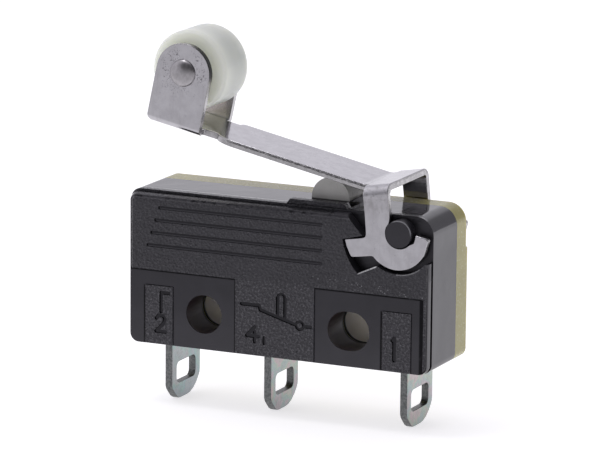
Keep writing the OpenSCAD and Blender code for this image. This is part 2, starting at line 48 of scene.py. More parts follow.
# ---------------------------------------------------------------- material kit
class Mat:
    """A Principled material with short calls for its nodes; all textures use the piece's own coordinates in mm."""

    def __init__(self, name):
        self.m = bpy.data.materials.new(name)
        self.m.use_nodes = True
        self.t = self.m.node_tree
        for n in list(self.t.nodes):
            self.t.nodes.remove(n)
        out = self.t.nodes.new("ShaderNodeOutputMaterial")
        self.b = self.t.nodes.new("ShaderNodeBsdfPrincipled")
        self.t.links.new(self.b.outputs[0], out.inputs[0])
        tc = self.t.nodes.new("ShaderNodeTexCoord")
        sc = self.t.nodes.new("ShaderNodeVectorMath")
        sc.operation = "SCALE"
        sc.inputs["Scale"].default_value = 1000.0
        self.t.links.new(tc.outputs["Object"], sc.inputs[0])
        self.co = sc.outputs[0]
        self.no = tc.outputs["Normal"]

    def set(self, **kw):
        for k, v in kw.items():
            self.b.inputs[k.replace("_", " ")].default_value = v if not isinstance(v, tuple) or len(v) != 3 or "Radius" in k else (*v, 1)
        return self

    def mapped(self, scale=(1, 1, 1), rot=(0, 0, 0), loc=(0, 0, 0)):
        n = self.t.nodes.new("ShaderNodeMapping")
        n.inputs["Scale"].default_value = scale
        n.inputs["Rotation"].default_value = rot
        n.inputs["Location"].default_value = loc
        self.t.links.new(self.co, n.inputs[0])
        return n.outputs[0]

    def noise(self, scale, detail=3.0, rough=0.55, co=None, dist=0.0):
        n = self.t.nodes.new("ShaderNodeTexNoise")
        n.inputs["Scale"].default_value = scale
        n.inputs["Detail"].default_value = detail
        n.inputs["Roughness"].default_value = rough
        n.inputs["Distortion"].default_value = dist
        self.t.links.new(co if co is not None else self.co, n.inputs["Vector"])
        return n.outputs["Fac"] if "Fac" in n.outputs else n.outputs[0]

    def cells(self, scale, feature="F1", co=None, rand=1.0):
        n = self.t.nodes.new("ShaderNodeTexVoronoi")
        n.feature = feature
        n.inputs["Scale"].default_value = scale
        n.inputs["Randomness"].default_value = rand
        self.t.links.new(co if co is not None else self.co, n.inputs["Vector"])
        return n.outputs["Distance"]

    def ramp(self, fac, *stops):
        n = self.t.nodes.new("ShaderNodeValToRGB")
        cr = n.color_ramp
        while len(cr.elements) < len(stops):
            cr.elements.new(0.5)
        for e, (p, c) in zip(cr.elements, stops):
            e.position = p
            e.color = (c, c, c, 1) if isinstance(c, (int, float)) else (*c, 1)
        self.t.links.new(fac, n.inputs[0])
        return n.outputs[0]

    def rng(self, v, a, b, c=0.0, d=1.0, smooth=True):
        n = self.t.nodes.new("ShaderNodeMapRange")
        if smooth:
            n.interpolation_type = "SMOOTHSTEP"
        for i, x in enumerate((a, b, c, d)):
            n.inputs[i + 1].default_value = x
        self.t.links.new(v, n.inputs[0])
        return n.outputs[0]

    def math(self, op, a, b=None, c=None):
        n = self.t.nodes.new("ShaderNodeMath")
        n.operation = op
        for i, x in enumerate((a, b, c)):
            if x is None:
                continue
            if isinstance(x, (int, float)):
                n.inputs[i].default_value = x
            else:
                self.t.links.new(x, n.inputs[i])
        return n.outputs[0]

    def mixc(self, fac, a, b):
        n = self.t.nodes.new("ShaderNodeMix")
        n.data_type = "RGBA"
        for s, x in (("Factor", fac), ("A", a), ("B", b)):
            idx = {"Factor": 0, "A": 6, "B": 7}[s]
            if isinstance(x, (int, float)):
                n.inputs[idx].default_value = x
            elif isinstance(x, tuple):
                n.inputs[idx].default_value = (*x, 1)
            else:
                self.t.links.new(x, n.inputs[idx])
        return n.outputs[2]

    def axis(self, which, co=None):
        n = self.t.nodes.new("ShaderNodeSeparateXYZ")
        self.t.links.new(co if co is not None else self.co, n.inputs[0])
        return n.outputs["XYZ".index(which)]

    def dist_xz(self, cx, cz):
        dx = self.math("SUBTRACT", self.axis("X"), cx)
        dz = self.math("SUBTRACT", self.axis("Z"), cz)
        return self.math("SQRT", self.math("ADD", self.math("MULTIPLY", dx, dx), self.math("MULTIPLY", dz, dz)))

    def to(self, sock, v):
        self.t.links.new(v, self.b.inputs[sock])
        return self

    def bump(self, h, mm, prev=None):
        n = self.t.nodes.new("ShaderNodeBump")
        n.inputs["Strength"].default_value = 1.0
        n.inputs["Distance"].default_value = mm * MM
        self.t.links.new(h, n.inputs["Height"])
        if prev is not None:
            self.t.links.new(prev, n.inputs["Normal"])
        return n.outputs[0]


mats = {}


def in_holes(m):
    """1 on the walls of the two fixing holes."""
    x, z = m.axis("X"), m.axis("Z")
    dx = m.math("MAXIMUM", m.math("SUBTRACT", m.math("ABSOLUTE", m.math("SUBTRACT", x, 9.5)), 0.175), 0.0)
    d2 = m.math("SQRT", m.math("ADD", m.math("MULTIPLY", dx, dx), m.math("MULTIPLY", z, z)))
    d = m.math("MINIMUM", m.dist_xz(0.0, 0.0), d2)
    return m.rng(d, 1.20, 1.24, 1.0, 0.0)


# black thermoset: glossy moulded skin, spark-eroded grain on the raised front field
m = Mat("black_thermoset")
x, y, z = m.axis("X"), m.axis("Y"), m.axis("Z")
nx, ny, nz = m.axis("X", m.no), m.axis("Y", m.no), m.axis("Z", m.no)
hole = m.math("MULTIPLY", in_holes(m), m.rng(y, -3.06, -2.98))
front = m.math("MULTIPLY", m.rng(y, -3.185, -3.150, 1.0, 0.0), m.rng(m.dist_xz(12.65, 6.17), 1.0, 1.2))
lip = m.math("MULTIPLY", m.rng(z, 7.12, 7.22), m.rng(y, -1.80, -2.10))
edge = m.math("MULTIPLY", m.rng(z, 6.85, 7.05), m.rng(y, -2.20, -2.60))
grain = m.math("MAXIMUM", front, m.math("MAXIMUM", lip, m.math("MULTIPLY", edge, 0.6)))
fine = m.noise(7.5, 4.0, 0.75)
pits = m.cells(5.5)
blotch = m.noise(0.8, 4.0, 0.65)
wave = m.noise(0.35, 2.0, 0.5)
streak = m.noise(1.0, 4.0, 0.65, m.mapped((0.30, 0.30, 4.0)))
g_h = m.math("MULTIPLY", m.math("ADD", fine, m.math("MULTIPLY", pits, 0.6)), grain)
b1 = m.bump(g_h, 0.075)
b2 = m.bump(m.math("ADD", wave, m.math("MULTIPLY", streak, 0.05)), 0.03, b1)
m.to("Normal", b2)
# bright specks where the grain is torn, in clusters
speck = m.math("MULTIPLY", m.rng(m.cells(9.0), 0.05, 0.16, 1.0, 0.0), m.rng(m.noise(0.9, 3.0, 0.6, m.mapped((0.6, 1.0, 1.4))), 0.50, 0.68))
under = m.math("MULTIPLY", m.math("MULTIPLY", m.rng(z, 2.40, 2.50), m.rng(z, 3.25, 3.0)), m.rng(x, 6.8, 7.4))
dots = m.math("MULTIPLY", m.rng(m.cells(6.2), 0.16, 0.30, 1.0, 0.0), m.rng(m.noise(3.5, 2.0, 0.5), 0.42, 0.62))
speck = m.math("MAXIMUM", m.math("MULTIPLY", speck, 0.6), m.math("MULTIPLY", m.math("MULTIPLY", dots, under), 0.42))
speck = m.math("MULTIPLY", speck, grain)
tone = m.mixc(m.rng(blotch, 0.35, 0.7), (0.0045, 0.0045, 0.0058), (0.0095, 0.0093, 0.0115))
bright = m.mixc(m.rng(z, 2.2, 2.7), (0.106, 0.103, 0.112), (0.043, 0.0415, 0.0465))
tone = m.mixc(m.math("MULTIPLY", grain, m.rng(fine, 0.46, 0.69)), tone, bright)
tone = m.mixc(speck, tone, (0.42, 0.42, 0.44))
# painted highlight on edges that face up, on the lower part of the front
lit = m.math("MULTIPLY", m.math("MULTIPLY", m.rng(nz, 0.22, 0.50), m.rng(nz, 0.985, 0.93)), m.math("MULTIPLY", m.rng(ny, -0.12, -0.35), m.rng(z, 7.0, 6.7)))
tone = m.mixc(m.math("MULTIPLY", lit, m.rng(m.noise(2.2, 3.0, 0.6), 0.35, 0.55)), tone, (0.135, 0.132, 0.142))
# the smooth end of the body
end = m.math("MULTIPLY", m.rng(nx, 0.70, 0.95), m.rng(x, 14.2, 14.4))
tone = m.mixc(end, tone, (0.0072, 0.0069, 0.0100))
face = m.rng(y, -3.00, -3.06)


def near(v, at, w):
    return m.rng(m.math("ABSOLUTE", m.math("SUBTRACT", v, at)), w, w * 0.4)


def span(v, a, b):
    return m.math("MULTIPLY", m.rng(v, a - 0.02, a + 0.02), m.rng(v, b + 0.02, b - 0.02))


def total(*vs):
    t = vs[0]
    for v in vs[1:]:
        t = m.math("MAXIMUM", t, v)
    return t


# walls of the hook's pocket: painted light lifts them out of their shade; they are also rougher
walls = m.math("MULTIPLY", m.math("MULTIPLY", span(y, -3.14, -2.47), m.rng(z, 3.3, 3.5)), m.rng(x, 8.3, 8.6))
tone = m.mixc(walls, tone, (0.017, 0.016, 0.0195))
# painted shade in the corners of the recessed pads, painted highlights along the edges on their other sides
ledge_shade = total(m.math("MULTIPLY", near(z, 2.375, 0.085), total(span(x, -5.1, 2.09), span(x, 7.30, 14.25))),
              m.math("MULTIPLY", near(x, 2.07, 0.08), m.rng(z, 2.42, 2.38)),
              m.math("MULTIPLY", near(x, -3.95, 0.11), m.rng(z, 1.50, 1.40)),
              m.math("MULTIPLY", near(x, 11.64, 0.12), m.rng(z, 1.50, 1.40)),
              m.math("MULTIPLY", near(x, 14.18, 0.18), m.rng(z, 2.42, 2.38)))
ledge_shade = m.math("MULTIPLY", ledge_shade, m.math("MULTIPLY", face, m.rng(m.noise(1.6, 3.0, 0.6), 0.25, 0.45, 0.55, 1.0)))
# painted highlights: light lines along those other edges, lighter still where the edge faces right
painted_light = total(m.math("MULTIPLY", near(x, 7.27, 0.055), m.rng(z, 2.40, 2.35)),
            m.math("MULTIPLY", near(x, -2.05, 0.06), m.rng(z, 1.50, 1.40)),
            m.math("MULTIPLY", m.math("MULTIPLY", near(x, 13.54, 0.06), m.rng(z, 1.50, 1.40)), 0.5))
tone = m.mixc(m.math("MULTIPLY", painted_light, face), tone, (0.034, 0.033, 0.038))
lit_x = m.math("MULTIPLY", m.math("MULTIPLY", m.rng(nx, 0.25, 0.60), m.rng(y, -3.02, -3.08)), total(near(x, 7.28, 0.16), near(x, -2.06, 0.16), near(x, 13.54, 0.16)))
tone = m.mixc(lit_x, tone, (0.085, 0.083, 0.091))
# grooves: painted shade along their upper side, painted light on the rest of each groove
rib = m.math("DIVIDE", m.math("SUBTRACT", z, 6.27), 0.78)
rib = m.math("MULTIPLY", m.math("SUBTRACT", rib, m.math("ROUND", rib)), 0.78)
upper = m.math("MAXIMUM", m.rng(rib, -0.06, -0.01), m.rng(z, 3.6, 3.4))
sunk = m.math("MULTIPLY", m.rng(y, -3.165, -3.145), m.rng(y, -3.1035, -3.1065))
sunk = m.math("MULTIPLY", sunk, m.rng(z, 6.75, 6.65))
groove_top_shade = m.math("MULTIPLY", sunk, upper)
tone = m.mixc(m.math("MULTIPLY", sunk, m.math("SUBTRACT", 1.0, upper)), tone, (0.026, 0.025, 0.029))
tone = m.mixc(m.math("MULTIPLY", groove_top_shade, 0.80), tone, (0.0065, 0.0065, 0.0078))
# painted highlights: bright lines on the pocket's lower edge and on the boss's rim
rd = m.dist_xz(12.65, 6.10)
arc_glint = m.math("MULTIPLY", m.math("MULTIPLY", near(rd, 2.365, 0.050), span(x, 12.55, 14.05)), m.rng(z, 5.0, 4.8))
ln = m.math("SUBTRACT", m.math("MULTIPLY", m.math("SUBTRACT", x, 10.082), 0.4206), m.math("MULTIPLY", m.math("SUBTRACT", z, 3.577), 0.9072))
seg_glint = m.math("MULTIPLY", near(ln, 0.030, 0.055), span(x, 10.10, 11.30))
bd = m.dist_xz(12.65, 6.17)
rim_glint = m.math("MULTIPLY", m.math("MULTIPLY", near(bd, 0.785, 0.050), m.rng(z, 6.05, 6.35)), m.rng(x, 12.15, 12.45))
tone = m.mixc(m.math("MULTIPLY", m.math("MULTIPLY", arc_glint, 0.55), face), tone, (0.30, 0.30, 0.31))
tone = m.mixc(m.math("MULTIPLY", seg_glint, m.math("MULTIPLY", face, m.rng(m.noise(3.0, 2.0, 0.5), 0.30, 0.50, 0.5, 1.0))), tone, (0.62, 0.62, 0.63))
tone = m.mixc(m.math("MULTIPLY", m.math("MULTIPLY", rim_glint, 0.75), m.rng(y, -3.10, -3.14)), tone, (0.22, 0.22, 0.235))
# painted shade along the pads' ledges
tone = m.mixc(ledge_shade, tone, (0.0012, 0.0012, 0.0016))
tone = m.mixc(hole, tone, (0.026, 0.0175, 0.0190))
# painted shade: a black ring deep in the fixing holes, just in front of the cover's posts
gap_shade = m.math("MULTIPLY", hole, m.rng(y, -1.10, -0.98))
tone = m.mixc(gap_shade, tone, (0.002, 0.002, 0.002))
m.to("Base Color", tone)
rg = m.math("ADD", m.rng(streak, 0.3, 0.7, 0.06, 0.13), m.math("MULTIPLY", grain, 0.20))
den = m.math("MULTIPLY", m.math("MULTIPLY", span(y, -3.14, -2.42), m.rng(z, 3.3, 3.5)), m.rng(x, 8.3, 8.6))
m.to("Roughness", m.math("ADD", m.math("ADD", rg, m.math("MULTIPLY", den, 0.30)), m.math("MULTIPLY", hole, 0.34)))
# specular level: lowered on faces that point down, as painted shade; also lowered in the holes, on the ledge and groove
# shade, towards the bottom of the end, and most in the gap
sp = m.math("MULTIPLY", m.rng(nz, -0.55, -0.12, 0.10, 0.50), m.math("SUBTRACT", 1.0, m.math("MULTIPLY", hole, 0.45)))
sp = m.math("MULTIPLY", sp, m.math("SUBTRACT", 1.0, m.math("MULTIPLY", ledge_shade, 0.78)))
sp = m.math("MULTIPLY", sp, m.math("SUBTRACT", 1.0, m.math("MULTIPLY", groove_top_shade, 0.46)))
sp = m.math("MULTIPLY", sp, m.math("SUBTRACT", 1.0, m.math("MULTIPLY", m.math("MULTIPLY", end, m.rng(z, 5.6, 4.6)), 0.14)))
m.to("Specular IOR Level", m.math("MULTIPLY", sp, m.math("SUBTRACT", 1.0, m.math("MULTIPLY", gap_shade, 0.8))))
m.set(IOR=1.52, Specular_Tint=(0.94, 0.915, 1.0))
mats["black_thermoset"] = m.m

# olive cover: translucent moulding
m = Mat("olive_cover")
cloud = m.noise(0.45, 3.0, 0.55)
fine = m.noise(7.0, 3.0, 0.6)
hole = in_holes(m)
# inside the fixing holes the post is painted light further in, with painted shade at its front end
m.to("Base Color", m.mixc(hole, m.mixc(m.rng(cloud, 0.3, 0.7), (0.300, 0.272, 0.090), (0.345, 0.312, 0.113)), m.mixc(m.rng(m.axis("Y"), -0.50, -0.60), (0.49, 0.465, 0.42), (0.01, 0.01, 0.01))))
m.to("Roughness", m.math("ADD", m.rng(fine, 0.3, 0.7, 0.20, 0.28), m.math("MULTIPLY", hole, 0.35)))
m.to("Specular IOR Level", m.math("SUBTRACT", 0.36, m.math("MULTIPLY", hole, 0.26)))
m.to("Normal", m.bump(fine, 0.001))
m.set(Subsurface_Weight=0.35, Subsurface_Radius=(0.9, 0.8, 0.35), Subsurface_Scale=0.0008, IOR=1.5)
mats["olive_cover"] = m.m

# rolled stainless sheet, satin, with handling marks
m = Mat("stainless")
x, y, z = m.axis("X"), m.axis("Y"), m.axis("Z")
roll = m.noise(1.6, 4.0, 0.6)
lines = m.noise(1.0, 4.0, 0.65, m.mapped((0.5, 6.0, 0.5)))
strk = m.noise(1.0, 4.0, 0.65, m.mapped((5.0, 5.0, 0.6)))
dimp = m.rng(m.cells(2.3), 0.04, 0.11, 1.0, 0.0)
c = m.mixc(m.rng(roll, 0.3, 0.72), (0.408, 0.399, 0.420), (0.470, 0.461, 0.485))
c = m.mixc(m.math("MULTIPLY", m.rng(strk, 0.50, 0.72), 0.42), c, (0.345, 0.335, 0.35))
c = m.mixc(m.math("MULTIPLY", dimp, 0.35), c, (0.20, 0.20, 0.21))
# dents struck round the rivet, torn grain on the folds
dr = m.dist_xz(-1.94, 14.36)
ring = m.math("MULTIPLY", m.math("MULTIPLY", m.rng(dr, 0.84, 0.95), m.rng(dr, 1.75, 1.25)), m.rng(y, -2.05, -2.20))
dent = m.math("MULTIPLY", ring, m.math("MULTIPLY", m.rng(m.noise(8.0, 3.0, 0.7), 0.56, 0.66), m.rng(m.noise(1.1, 2.0, 0.5), 0.44, 0.58)))
c = m.mixc(m.math("MULTIPLY", dent, 0.75), c, (0.07, 0.07, 0.075))
fold = m.math("MULTIPLY", m.rng(m.math("ABSOLUTE", y), 2.50, 2.62), m.math("MULTIPLY", m.rng(z, 8.0, 8.25), m.rng(x, 9.0, 9.6)))
torn = m.noise(5.0, 4.0, 0.7)
c = m.mixc(m.math("MULTIPLY", fold, m.rng(torn, 0.5, 0.66)), c, (0.30, 0.295, 0.305))
# painted light between the ears: a lighter tone, near-white on faces that point up, with a faint glow there
painted_light = m.math("MULTIPLY", m.rng(m.math("ABSOLUTE", m.math("SUBTRACT", y, 0.10)), 2.04, 1.96), m.rng(m.math("ADD", x, m.math("MULTIPLY", y, 0.474)), 0.02, -0.24))
c = m.mixc(painted_light, c, m.mixc(m.rng(m.math("ABSOLUTE", m.axis("Y", m.no)), 0.5, 0.9), (0.97, 0.955, 0.90), (0.59, 0.565, 0.565)))
m.to("Emission Strength", m.math("MULTIPLY", m.math("MULTIPLY", painted_light, m.rng(m.math("ABSOLUTE", m.axis("Y", m.no)), 0.9, 0.5)), 0.042))
# a darker, mottled band on the near leg below its bend
low = m.math("MULTIPLY", m.math("MULTIPLY", m.rng(y, -2.75, -2.95), m.rng(x, 9.0, 9.6)), m.math("MULTIPLY", m.rng(z, 6.9, 7.9), m.rng(z, 8.25, 8.05)))
c = m.mixc(m.math("MULTIPLY", low, m.rng(m.noise(2.5, 4.0, 0.7), 0.40, 0.62, 0.25, 0.85)), c, (0.30, 0.29, 0.30))
m.to("Base Color", c)
m.to("Roughness", m.math("ADD", m.math("ADD", m.rng(lines, 0.3, 0.7, 0.10, 0.17), m.math("MULTIPLY", m.rng(strk, 0.5, 0.8), 0.05)), m.math("MULTIPLY", fold, 0.24)))
hh = m.math("SUBTRACT", m.math("ADD", m.math("MULTIPLY", lines, 0.10), m.math("MULTIPLY", roll, 0.35)), m.math("MULTIPLY", dimp, 0.4))
hh = m.math("ADD", hh, m.math("SUBTRACT", m.math("MULTIPLY", m.math("MULTIPLY", fold, torn), 1.5), m.math("MULTIPLY", dent, 2.0)))
m.to("Normal", m.bump(hh, 0.008))
m.set(Metallic=1.0, Emission_Color=(1.0, 0.98, 0.86))
mats["stainless"] = m.m

# sheared edge of the sheet: burnished band over a torn one
m = Mat("sheared_edge")
at = m.t.nodes.new("ShaderNodeAttribute")
at.attribute_name = "depth"
dep = at.outputs["Fac"]
n1 = m.noise(7.0, 4.0, 0.75)
n2 = m.noise(2.5, 3.0, 0.6)
x, y, z = m.axis("X"), m.axis("Y"), m.axis("Z")
nx = m.axis("X", m.no)
torn = m.rng(m.math("ADD", dep, m.math("MULTIPLY", m.math("SUBTRACT", n2, 0.5), 0.30)), 0.44, 0.34)
c = m.mixc(m.rng(n2, 0.35, 0.65), (0.34, 0.335, 0.34), (0.44, 0.43, 0.44))
torn = m.math("MULTIPLY", torn, m.math("MULTIPLY", m.rng(x, 0.6, 1.3), m.rng(x, 10.3, 9.8, 0.25, 1.0)))
c = m.mixc(m.math("MULTIPLY", torn, m.rng(n1, 0.40, 0.56)), c, (0.115, 0.113, 0.118))
# the ear's round end is in the roller's shade
dark = m.math("MULTIPLY", m.rng(z, 13.6, 14.3), m.rng(nx, 0.10, 0.55))
c = m.mixc(dark, c, (0.045, 0.045, 0.05))
m.to("Base Color", c)
m.to("Roughness", m.math("ADD", m.rng(n1, 0.3, 0.7, 0.20, 0.32), m.math("MULTIPLY", torn, 0.20)))
m.to("Normal", m.bump(m.math("MULTIPLY", n1, m.math("ADD", 0.12, torn)), 0.05))
m.set(Metallic=1.0)
mats["sheared_edge"] = m.m

# riveted pin
m = Mat("pin_steel")
n1 = m.noise(6.0, 4.0, 0.6)
n2 = m.noise(1.2, 2.0, 0.5)
m.to("Base Color", m.mixc(m.rng(n1, 0.35, 0.7), (0.32, 0.31, 0.32), (0.40, 0.385, 0.40)))
m.to("Roughness", m.rng(n2, 0.3, 0.7, 0.28, 0.36))
m.to("Normal", m.bump(n1, 0.005))
m.set(Metallic=1.0)
mats["pin_steel"] = m.m

# nylon roller
m = Mat("roller_nylon")
cloud = m.noise(0.35, 3.0, 0.5)
fine = m.noise(8.0, 2.0, 0.5)
c = m.mixc(m.rng(cloud, 0.3, 0.7), (0.535, 0.563, 0.55), (0.592, 0.61, 0.58))
m.to("Base Color", c)
m.to("Roughness", m.rng(fine, 0.3, 0.7, 0.30, 0.42))
m.to("Normal", m.bump(m.math("ADD", fine, m.math("MULTIPLY", cloud, 3.0)), 0.006))
y = m.axis("Y")
# painted light: the roller glows faintly, most at its front, in place of light scattered through the nylon
m.to("Emission Strength", m.rng(y, -1.28, 0.2, 0.140, 0.052))
m.set(Subsurface_Weight=1.0, Subsurface_Radius=(1.0, 1.0, 0.8), Subsurface_Scale=0.0028, IOR=1.5, Emission_Color=(1.0, 1.0, 0.84))
mats["roller_nylon"] = m.m

# grey plunger
m = Mat("grey_plunger")
n1 = m.noise(5.0, 3.0, 0.6)
n2 = m.noise(0.7, 2.0, 0.5)
c = m.mixc(m.rng(n2, 0.3, 0.7), (0.46, 0.455, 0.435), (0.54, 0.533, 0.51))
# painted shade: the plunger is dark where it sits below the lip's top
c = m.mixc(m.rng(m.axis("Z"), 7.48, 7.42), c, (0.05, 0.05, 0.05))
m.to("Base Color", c)
m.to("Roughness", m.rng(n1, 0.3, 0.7, 0.26, 0.42))
m.to("Normal", m.bump(n1, 0.01))
m.set(IOR=1.5)
mats["grey_plunger"] = m.m

# plated terminals with a faint rainbow film
m = Mat("plated_terminal")
film = m.noise(0.55, 3.0, 0.6, dist=0.6)
mot = m.noise(2.4, 4.0, 0.65)
scr = m.noise(1.0, 4.0, 0.7, m.mapped((3.0, 3.0, 0.8)))
c = m.ramp(film, (0.28, (0.315, 0.305, 0.295)), (0.40, (0.375, 0.305, 0.315)), (0.47, (0.30, 0.35, 0.30)), (0.54, (0.26, 0.325, 0.32)),
           (0.61, (0.345, 0.305, 0.33)), (0.72, (0.335, 0.325, 0.315)))
c = m.mixc(m.math("MULTIPLY", m.rng(m.axis("X"), -2.0, -2.2), 0.42), c, (0.225, 0.345, 0.365))
c = m.mixc(m.math("MULTIPLY", m.rng(mot, 0.45, 0.75), 0.6), c, (0.25, 0.24, 0.235))
m.to("Base Color", c)
m.to("Roughness", m.rng(scr, 0.3, 0.7, 0.16, 0.28))
m.to("Normal", m.bump(m.math("ADD", scr, mot), 0.010))
m.set(Metallic=1.0)
mats["plated_terminal"] = m.m

# stamped edge of the terminals
m = Mat("terminal_edge")
n1 = m.noise(7.0, 4.0, 0.7)
m.to("Base Color", m.mixc(m.rng(n1, 0.35, 0.65), (0.095, 0.10, 0.10), (0.20, 0.205, 0.205)))
m.to("Roughness", m.rng(n1, 0.3, 0.7, 0.32, 0.5))
m.to("Normal", m.bump(n1, 0.03))
m.set(Metallic=1.0)
mats["terminal_edge"] = m.m

for nm, ca, cb, ro in (("blade_alloy", (0.62, 0.42, 0.24), (0.70, 0.50, 0.30), 0.28), ("spring_steel", (0.42, 0.42, 0.43), (0.52, 0.52, 0.53), 0.25),
                       ("contact_silver", (0.75, 0.74, 0.72), (0.84, 0.83, 0.81), 0.2)):
    m = Mat(nm)
    n1 = m.noise(4.0, 4.0, 0.6)
    m.to("Base Color", m.mixc(m.rng(n1, 0.3, 0.7), ca, cb))
    m.to("Roughness", m.rng(n1, 0.3, 0.7, ro, ro + 0.12))
    m.to("Normal", m.bump(n1, 0.008))
    m.set(Metallic=1.0)
    mats[nm] = m.m

slots = {s["node"]: s["material_slot"] for s in record["subparts"]}
bodies = {n: b for b, ns in record["behaviour"]["bodies"].items() for n in ns}


# ---------------------------------------------------------------- geometry helpers
def place(ob, name, mat=None):
    if mat is not None:
        ob.data.materials.clear()
        ob.data.materials.append(mat)
    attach(ob, bodies[name])
    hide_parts(name)
    return ob


def face_normals(me, angle=38.0):
    """Custom normals: each smooth fan of faces takes the direction of its largest faces, so flat faces stay flat."""
    bm = bmesh.new()
    bm.from_mesh(me)
    bm.faces.ensure_lookup_table()
    bm.verts.ensure_lookup_table()
    ca = math.cos(math.radians(angle))
    fn = [f.normal.copy() for f in bm.faces]
    fa = [f.calc_area() for f in bm.faces]
    out = {}
    for v in bm.verts:
        left = {f.index: f for f in v.link_faces}
        while left:
            i0, f0 = left.popitem()
            group, todo = [i0], [f0]
            while todo:
                f = todo.pop()
                for e in f.edges:
                    if v not in e.verts:
                        continue
                    for g in e.link_faces:
                        if g.index in left and fn[g.index].dot(fn[f.index]) > ca:
                            del left[g.index]
                            group.append(g.index)
                            todo.append(g)
            n = Vector()
            for i in group:
                n += fn[i] * fa[i]
            if n.length < 1e-14:
                n = fn[group[0]]
            n = n.normalized()
            for i in group:
                out[(i, v.index)] = n
    bm.free()
    loops = [None] * len(me.loops)
    for p in me.polygons:
        p.use_smooth = True
        for li in p.loop_indices:
            loops[li] = out.get((p.index, me.loops[li].vertex_index), p.normal)
    me.normals_split_custom_set([tuple(n) for n in loops])


def refined(name, width, segs=2, angle=30, weld=0.012, edge_mat=None, edge_test=None):
    """A new piece with a CAD node's form and softly broken edges."""
    src = frame["nodes"][name]
    bm = bmesh.new()
    bm.from_mesh(src.data)
    bmesh.ops.remove_doubles(bm, verts=bm.verts, dist=weld * MM)
    bmesh.ops.dissolve_degenerate(bm, dist=weld * MM, edges=bm.edges)
    bmesh.ops.dissolve_limit(bm, angle_limit=math.radians(0.8), verts=bm.verts, edges=bm.edges, delimit=set())
    if edge_mat:
        for f in bm.faces:
            if edge_test(f.calc_center_median() / MM, f.normal):
                f.material_index = 1
    sel = [e for e in bm.edges if len(e.link_faces) == 2 and e.calc_face_angle(0.0) > math.radians(angle)]
    bmesh.ops.bevel(bm, geom=sel, offset=width * MM, offset_type="OFFSET", segments=segs, profile=0.5, affect="EDGES", clamp_overlap=True, material=-1, miter_outer="ARC")
    bmesh.ops.dissolve_degenerate(bm, dist=1e-7, edges=bm.edges)
    bmesh.ops.triangulate(bm, faces=[f for f in bm.faces if len(f.verts) > 4])
    me = bpy.data.meshes.new(name + "_fine")
    me.materials.append(mats[slots[name]])
    if edge_mat:
        me.materials.append(mats[edge_mat])
    bm.to_mesh(me)
    bm.free()
    face_normals(me)
    ob = bpy.data.objects.new(name + "_fine", me)
    bpy.context.scene.collection.objects.link(ob)
    return place(ob, name)


def lathe(name, centre, profile, steps=96):
    """Revolve (radius, y) pairs in mm round an axis along Y through centre; the profile is closed."""
    bm = bmesh.new()
    rings = []
    for i in range(steps):
        a = 2 * math.pi * i / steps
        rings.append([bm.verts.new((centre.x + r * MM * math.cos(a), centre.y + yy * MM, centre.z + r * MM * math.sin(a))) if r > 1e-6 else None
                      for r, yy in profile])
    poles = {}
    for j, (r, yy) in enumerate(profile):
        if r <= 1e-6:
            poles[j] = bm.verts.new((centre.x, centre.y + yy * MM, centre.z))
    closed = not poles
    nj = len(profile)
    for i in range(steps):
        k = (i + 1) % steps
        for j in range(nj if closed else nj - 1):
            l = (j + 1) % nj
            q = [rings[i][j] or poles[j], rings[i][l] or poles[l], rings[k][l] or poles.get(l), rings[k][j] or poles.get(j)]
            u = []
            for v in q:
                if v not in u:
                    u.append(v)
            if len(u) > 2:
                bm.faces.new(u)
    bmesh.ops.recalc_face_normals(bm, faces=bm.faces)
    me = bpy.data.meshes.new(name)
    bm.to_mesh(me)
    bm.free()
    for p in me.polygons:
        p.use_smooth = True
    ob = bpy.data.objects.new(name, me)
    bpy.context.scene.collection.objects.link(ob)
    return ob


def arc(cx, cy, r, a0, a1, n):
    return [(cx + r * math.cos(math.radians(a0 + (a1 - a0) * i / n)), cy + r * math.sin(math.radians(a0 + (a1 - a0) * i / n))) for i in range(n + 1)]


# ---------------------------------------------------------------- pieces
refined("housing", 0.06, 2)
refined("cover", 0.07, 2)
refined("plunger", 0.07, 2)



# ---- the lever: a flat blank with rounded edges, cut along its bend lines and folded
T = 0.40                                  # sheet
RX, RZ = -6.64, 16.51                     # roller centre
KX, KZ = 5.24, 10.85                      # bend line between arm and base, top surface
SA, SB = math.radians(11.9), math.radians(10.0)
EAR_D = (RZ - KZ - (KX - RX) * math.tan(SA)) * math.cos(SA) + T


def poly_offset(pts, d):
    """Outline moved inwards by d (counter-clockwise outline)."""
    n = len(pts)
    out = []
    for i in range(n):
        a, b, c2 = Vector(pts[i - 1]), Vector(pts[i]), Vector(pts[(i + 1) % n])
        e1 = (b - a).normalized()
        e2 = (c2 - b).normalized()
        n1, n2 = Vector((-e1.y, e1.x)), Vector((-e2.y, e2.x))
        k = 1 + n1.dot(n2)
        m2 = (n1 + n2) / max(k, 0.35)
        out.append((b.x + m2.x * d, b.y + m2.y * d))
    return out


